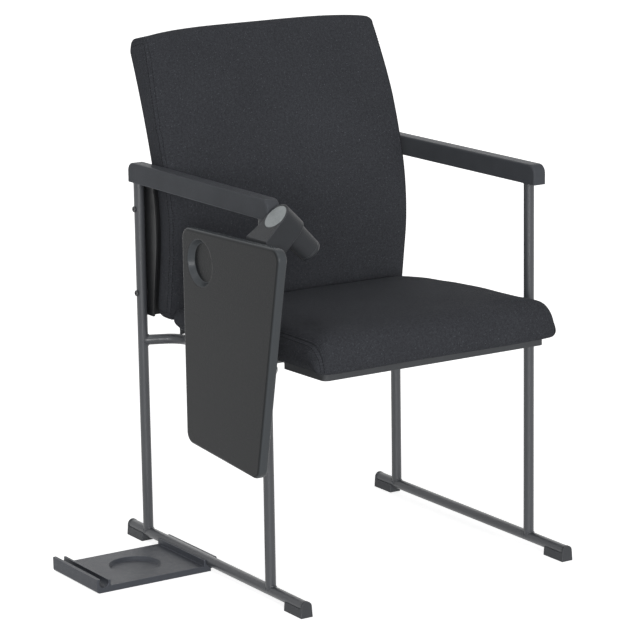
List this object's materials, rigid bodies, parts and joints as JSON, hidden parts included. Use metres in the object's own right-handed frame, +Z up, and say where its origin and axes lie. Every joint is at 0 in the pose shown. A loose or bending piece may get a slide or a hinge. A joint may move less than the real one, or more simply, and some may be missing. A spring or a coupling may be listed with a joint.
{
  "type": "visitor chair",
  "caption": "Upholstered visitor chair on round tube side frames, with arm rests, a swing-over writing tablet and a fold-up row link on the runner.",
  "frame": {"origin": "bottom centre of the chair's box with the tablet stowed and the link down, on the floor", "axes": "+Z up, the sitter looks along -Y, the sitter's right side with the tablet and the link is -X"},
  "size_m": [0.7622, 0.6213, 0.8998],
  "materials": {
    "frame_tube": "powder coated, fine texture, satin",
    "foot_plastic": "moulded, matt",
    "arm_plastic": "moulded, fine grain",
    "pan_plastic": "moulded, fine grain",
    "saddle_plastic": "moulded, matt",
    "plywood": "raw plywood",
    "fabric": "plain woven upholstery, matt",
    "shell_plastic": "moulded, fine grain",
    "dark_screws": "black zinc",
    "pivot_plastic": "moulded, fine grain",
    "cover_metal": "satin grey",
    "pivot_steel": "zinc plated",
    "bush_plastic": "smooth bearing plastic",
    "tablet_board": "pressed board with a dark matt lacquer",
    "link_plastic": "moulded, fine grain"
  },
  "bodies": {
    "frame": {"left_runner": "frame_tube", "right_runner": "frame_tube", "left_front_leg": "frame_tube", "right_front_leg": "frame_tube", "left_rear_leg": "frame_tube", "right_rear_leg": "frame_tube", "left_seat_rail": "frame_tube", "right_seat_rail": "frame_tube", "front_cross_tube": "frame_tube", "rear_cross_tube": "frame_tube", "left_arm_bar": "frame_tube", "right_arm_bar": "frame_tube", "left_back_bracket": "frame_tube", "right_back_bracket": "frame_tube", "pivot_arm": "frame_tube", "left_front_foot": "foot_plastic", "left_rear_foot": "foot_plastic", "right_front_foot": "foot_plastic", "right_rear_foot": "foot_plastic", "left_arm_pad": "arm_plastic", "right_arm_pad": "arm_plastic", "seat_pan": "pan_plastic", "seat_saddles": "saddle_plastic", "seat_board": "plywood", "back_board": "plywood", "seat_cushion": "fabric", "back_cushion": "fabric", "back_shell": "shell_plastic", "arm_screws": "dark_screws", "seat_screws": "dark_screws", "leg_screws": "dark_screws", "back_screws": "dark_screws", "pivot_housing": "pivot_plastic", "end_cap": "pivot_plastic", "stop_pin": "pivot_steel", "pivot_bush": "bush_plastic", "friction_washer": "bush_plastic"},
    "tablet_arm": {"swivel_head": "pivot_plastic", "cover_disc": "cover_metal", "pivot_bolt": "pivot_steel", "disc_springs": "pivot_steel", "pivot_nut": "pivot_steel", "tablet": "tablet_board", "tablet_screws": "dark_screws"},
    "link": {"row_link": "link_plastic"}
  },
  "joints": [
    {"name": "tablet_swing", "type": "hinge", "parent": "frame", "child": "tablet_arm", "pos_m": [-0.17514, -0.22247, 0.6573], "axis": [-0.7071, 0, 0.7071], "range_deg": [0, 180]},
    {"name": "link_swing", "type": "hinge", "parent": "frame", "child": "link", "pos_m": [-0.16114, 0.11203, 0.018], "axis": [0, 1, 0], "range_deg": [0, 90]}
  ]
}
